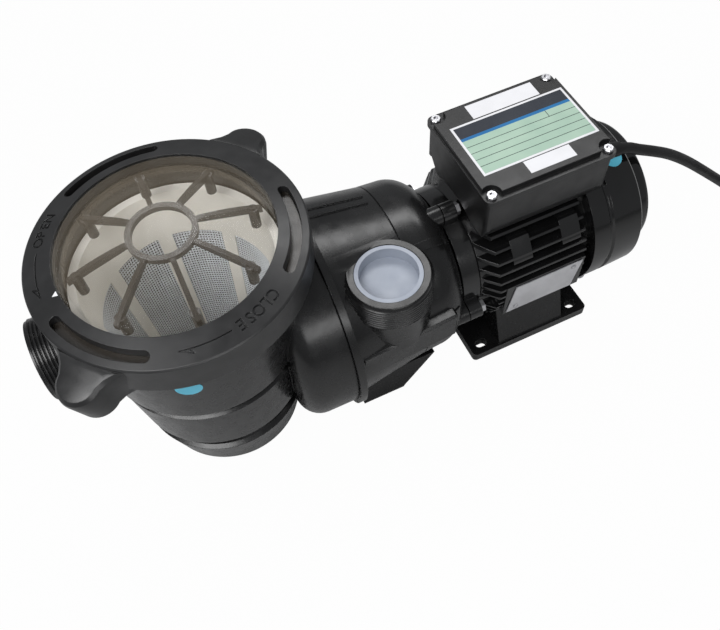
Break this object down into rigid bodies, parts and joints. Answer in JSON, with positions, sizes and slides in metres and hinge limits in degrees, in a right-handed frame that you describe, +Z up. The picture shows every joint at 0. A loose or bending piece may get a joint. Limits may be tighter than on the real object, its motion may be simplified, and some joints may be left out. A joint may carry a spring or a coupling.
{
  "type": "pool pump",
  "caption": "Above-ground pool pump: strainer pot with clear lid and locking ring, volute casing with capped discharge port, finned motor with terminal box and coiled cord",
  "frame": {"origin": "centre of the motor foot's underside, on the ground", "axes": "+X runs along the shaft from the strainer pot towards the fan, +Y points to the side away from the discharge port, +Z is up"},
  "size_m": [0.8316, 0.2694, 0.2692],
  "materials": {
    "black_moulding": "satin",
    "ring_moulding": "satin",
    "box_moulding": "fine texture",
    "black_enamel": "black enamel over cast aluminium",
    "gloss_moulding": "gloss",
    "clear_moulding": "clear, slightly smoky",
    "cream_moulding": "satin",
    "pale_cap": "satin",
    "seal_rubber": "matt",
    "cord_rubber": "satin",
    "bare_aluminium": "brushed, blank",
    "plated_steel": "plated",
    "steel": "machined",
    "copper_wire": "varnished",
    "grey_moulding": "satin",
    "seal_ceramic": "lapped",
    "capacitor_can": "satin"
  },
  "bodies": {
    "pump_body": {"strainer_pot": "black_moulding", "pump_casing": "black_moulding", "diffuser": "black_moulding", "terminal_box": "box_moulding", "terminal_box_lid": "box_moulding", "motor_foot": "box_moulding", "cable_gland": "box_moulding", "motor_housing": "black_enamel", "motor_bracket": "black_enamel", "rear_end_shield": "black_enamel", "fan_cover": "gloss_moulding", "casing_o_ring": "seal_rubber", "terminal_box_gasket": "seal_rubber", "power_cord": "cord_rubber", "cord_coil": "cord_rubber", "power_plug": "cord_rubber", "cord_tie": "cord_rubber", "rating_plate": "bare_aluminium", "plate_rivet_1": "plated_steel", "plate_rivet_2": "plated_steel", "box_lid_screw_1": "plated_steel", "box_lid_screw_2": "plated_steel", "box_lid_screw_3": "plated_steel", "box_lid_screw_4": "plated_steel", "fan_cover_screw_1": "plated_steel", "fan_cover_screw_2": "plated_steel", "casing_bolt_1": "plated_steel", "casing_bolt_2": "plated_steel", "casing_bolt_3": "plated_steel", "casing_bolt_4": "plated_steel", "front_bearing": "steel", "rear_bearing": "steel", "stator_core": "steel", "stator_winding_front": "copper_wire", "stator_winding_rear": "copper_wire", "seal_plate": "grey_moulding", "terminal_block": "grey_moulding", "seal_seat": "seal_ceramic", "capacitor": "capacitor_can"},
    "lid": {"clear_lid": "clear_moulding", "lid_o_ring": "seal_rubber"},
    "lock_ring": {"lock_ring": "ring_moulding"},
    "basket": {"strainer_basket": "cream_moulding"},
    "rotor": {"motor_shaft": "steel", "rotor_core": "steel", "impeller": "grey_moulding", "cooling_fan": "gloss_moulding", "seal_head": "seal_ceramic"},
    "port_cap": {"port_cap": "pale_cap"},
    "drain_plug": {"drain_plug": "gloss_moulding", "drain_plug_gasket": "seal_rubber"}
  },
  "joints": [
    {"name": "lid_lift", "type": "slide", "parent": "pump_body", "child": "lid", "axis": [0, 0, 1], "range_m": [0, 0.36]},
    {"name": "ring_turn", "type": "hinge", "parent": "lid", "child": "lock_ring", "pos_m": [-0.2893, 0, 0.2395], "axis": [0, 0, 1], "range_deg": [0, 45]},
    {"name": "basket_lift", "type": "slide", "parent": "pump_body", "child": "basket", "axis": [0, 0, 1], "range_m": [0, 0.216]},
    {"name": "shaft_turn", "type": "hinge", "parent": "pump_body", "child": "rotor", "pos_m": [0, 0, 0.1074], "axis": [1, 0, 0], "continuous": true},
    {"name": "cap_pull", "type": "slide", "parent": "pump_body", "child": "port_cap", "axis": [0, 0, 1], "range_m": [0, 0.06]},
    {"name": "drain_plug_out", "type": "slide", "parent": "pump_body", "child": "drain_plug", "axis": [0, 1, 0], "range_m": [0, 0.03]}
  ],
  "couplings": [
    {"joint": "basket_lift", "follows": "lid_lift", "ratio": 0.6}
  ]
}
